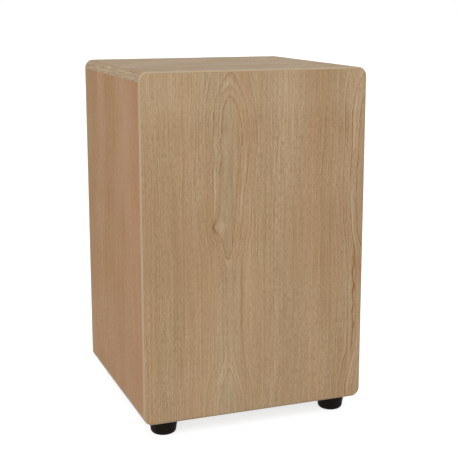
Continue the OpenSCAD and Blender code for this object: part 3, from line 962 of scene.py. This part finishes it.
def make_bar(material):
    """Snare bar: a rounded rectangle carried along X, with both ends rounded alike."""
    lo, hi = span("snare_bar")
    size, middle = hi - lo, (lo + hi) / 2
    rings = board_rings(size[1] / 2, size[2] / 2, BAR_EDGE, rim(size[0], BAR_EDGE, BAR_EDGE))
    bar = capped(facing_left(rings, lo[0], middle[1], middle[2]))
    make_piece("snare_bar_eased", *bar, material, "snare", "hardwood", "snare_bar")


def make_lever(material):
    """Lever: a dowel along Y that swells with the square of its length to the free end, which is a half
    ball drawn to a small flat."""
    lo, hi = span("snare_lever")
    middle = (lo + hi) / 2
    radius, length = (hi[0] - lo[0]) / 2, hi[1] - lo[1]
    run = np.linspace(0, length - radius, LEVER_STEPS)
    swell = LEVER_NECK + (1 - LEVER_NECK) * (run / run[-1]) ** 2
    turn = np.linspace(0, LEVER_TIP, EDGE_STEPS + 1)[1:]
    along = np.concatenate([run, run[-1] + radius * np.sin(turn)])[:, None]
    across = radius * np.concatenate([swell, np.cos(turn)])[:, None]
    angle = np.linspace(0, 2 * np.pi, LEVER_SIDES, endpoint=False)
    rings = np.stack([
        middle[0] + across * np.cos(angle),
        lo[1] + along + 0 * angle,
        middle[2] + across * np.sin(angle),
    ], axis=-1)
    make_piece("snare_lever_turned", *capped(rings), material, "snare", "hardwood", "snare_lever")


def coil(centre_x, centre_y, low, high):
    """A close coil of wire: a helix about an upright axis, with a circle carried square to it. The circle
    lies on the outward normal and on the cross product of the helix's tangent with that normal."""
    turns = (high - low) / COIL_PITCH
    phase = np.linspace(0, 2 * np.pi * turns, int(turns * COIL_STEPS))[:, None]
    around = np.linspace(0, 2 * np.pi, WIRE_SIDES, endpoint=False)[None, :]
    helix_r, climb = COIL_R - WIRE_R, COIL_PITCH / (2 * np.pi)
    slope = np.hypot(helix_r, climb)
    outward = helix_r + WIRE_R * np.cos(around)
    aside = WIRE_R * np.sin(around) * climb / slope
    x = centre_x + outward * np.cos(phase) + aside * np.sin(phase)
    y = centre_y + outward * np.sin(phase) - aside * np.cos(phase)
    z = low + climb * phase + WIRE_R * np.sin(around) * helix_r / slope
    return np.stack([x, y, z], axis=-1)


def make_strands(material, side):
    """Row of coiled strands in one mesh: the same coil, set along X at the strands' pitch."""
    node = f"snare_strands_{side}"
    lo, hi = span(node)
    first = coil(lo[0] + COIL_R, (lo[1] + hi[1]) / 2, lo[2] + WIRE_R, hi[2] - WIRE_R)
    points, faces = capped(first)
    moves = np.linspace(0, hi[0] - lo[0] - 2 * COIL_R, STRANDS)
    rows = points + moves[:, None, None] * [1, 0, 0]
    all_faces = [face + k * len(points) for k in range(STRANDS) for face in faces]
    make_piece(f"snare_wires_{side}", rows, all_faces, material, "snare", "steel", node, WIRE_SHARP)


def clip_section(lo, hi):
    """Y and Z round a clip: the plate's flat back, its lower edge, and the grip with two rounded
    corners."""
    turn = np.linspace(0, np.pi / 2, EDGE_STEPS + 1)
    sine, cosine = CLIP_ROUND * np.sin(turn), CLIP_ROUND * np.cos(turn)
    plate, grip = hi[1] - CLIP_PLATE, hi[2] - CLIP_GRIP
    front = lo[1] + CLIP_ROUND
    lower = np.column_stack([front - sine, grip + CLIP_ROUND - cosine])
    upper = np.column_stack([front - cosine, hi[2] - CLIP_ROUND + sine])
    back = np.array([[hi[1], hi[2]], [hi[1], lo[2]], [plate, lo[2]], [plate, grip]])
    return np.concatenate([back, lower, upper])


def make_clip(material, side):
    """Clip: its section carried along X, with the front of the grip pressed in between the strands by a
    raised cosine of the strands' pitch."""
    node = f"snare_clip_{side}"
    lo, hi = span(node)
    strand_lo, strand_hi = span(f"snare_strands_{side}")
    first = strand_lo[0] + COIL_R
    pitch = (strand_hi[0] - strand_lo[0] - 2 * COIL_R) / (STRANDS - 1)
    section = clip_section(lo, hi)
    x = np.linspace(lo[0], hi[0], CRIMP_STEPS * STRANDS + 1)[:, None]
    valley = (1 - np.cos(2 * np.pi * (x - first) / pitch)) / 2
    front = np.clip((hi[1] - CRIMP_START - section[:, 0]) / CRIMP_RUN, 0, 1)
    y = section[:, 0] + CRIMP * valley * front
    rings = np.stack([x + 0 * y, y, section[:, 1] + 0 * x], axis=-1)
    make_piece(f"snare_clip_pressed_{side}", *capped(rings), material, "snare", "steel", node)


def dress(material, *nodes):
    """Gives CAD nodes that stay as they are a finish of their own."""
    for node in nodes:
        for slot in frame["nodes"][node].material_slots:
            slot.material = material


# Stage


def make_stage():
    """White floor under the feet, far wider than the view."""
    corners = np.array([[-1, -1, 0], [1, -1, 0], [1, 1, 0], [-1, 1, 0]]) * FLOOR_HALF
    mesh = bpy.data.meshes.new("floor")
    mesh.from_pydata(corners.tolist(), [], [(0, 1, 2, 3)])
    mesh.materials.append(floor_material())
    floor = bpy.data.objects.new("floor", mesh)
    bpy.context.collection.objects.link(floor)


def make_sky():
    """Even white light, seen as white by the camera."""
    world = bpy.data.worlds.new("studio")
    bpy.context.scene.world = world
    world.use_nodes = True
    tree = world.node_tree
    sky = tree.nodes["Background"]
    sky.inputs["Color"].default_value = WHITE
    plug(tree, seen_directly(tree).run(SKY_LEVEL, 1.0), sky.inputs["Strength"])


def make_key():
    """One large soft lamp to the front and left, aimed at the middle of the box."""
    lamp = bpy.data.lights.new("key", "AREA")
    lamp.size = KEY_SIZE
    lamp.energy = KEY_POWER
    key = bpy.data.objects.new("key", lamp)
    key.location = KEY_PLACE
    aim = Vector((0, 0, MID_Z)) - Vector(KEY_PLACE)
    key.rotation_euler = aim.to_track_quat("-Z", "Y").to_euler()
    bpy.context.collection.objects.link(key)


def make_camera():
    """Camera at the photograph's place: turned about Z, tipped down and rolled a little."""
    lens = bpy.data.cameras.new("camera")
    lens.lens = CAMERA_LENS
    lens.shift_x, lens.shift_y = CAMERA_SHIFT
    camera = bpy.data.objects.new("camera", lens)
    camera.location = CAMERA_PLACE
    yaw = Matrix.Rotation(-CAMERA_YAW, 3, "Z")
    tip = Matrix.Rotation(math.pi / 2 - CAMERA_PITCH, 3, "X")
    roll = Matrix.Rotation(CAMERA_ROLL, 3, "Z")
    camera.rotation_euler = (yaw @ tip @ roll).to_euler()
    bpy.context.collection.objects.link(camera)
    bpy.context.scene.camera = camera


bpy.context.scene.view_settings.view_transform = "Standard"
make_camera()
make_stage()
make_sky()
make_key()

make_tapa(tapa_material())
make_back(back_material())
make_top(seat_material("seat_veneer", TOP_HI[2], 1.0))
make_bottom(seat_material("floor_board_veneer", BOTTOM_LO[2], -1.0))
SIDE_FINISH = side_material()
make_side(SIDE_FINISH, "left", -1)
make_side(SIDE_FINISH, "right", 1)
RUBBER = rubber_material()
for foot_place in ("front_left", "front_right", "rear_left", "rear_right"):
    make_foot(RUBBER, foot_place)

STEEL = steel_material()
BEECH_X, BEECH_Y, BEECH_Z = (beech_material(f"beech_along_{axis}", k) for k, axis in enumerate("xyz"))
make_bar(BEECH_X)
make_lever(BEECH_Y)
for hand in ("left", "right"):
    make_strands(STEEL, hand)
    make_clip(STEEL, hand)
    dress(BEECH_Z, f"pivot_block_{hand}")
    dress(BEECH_Y, f"corner_block_upper_{hand}", f"corner_block_lower_{hand}")
    dress(STEEL, f"pivot_pin_{hand}")
dress(BEECH_X, "stop_pegs")
dress(STEEL, "foot_washers", "foot_screws", "block_screws", "clip_screws")
dress(nylon_material(), "pivot_bush_left", "pivot_bush_right")
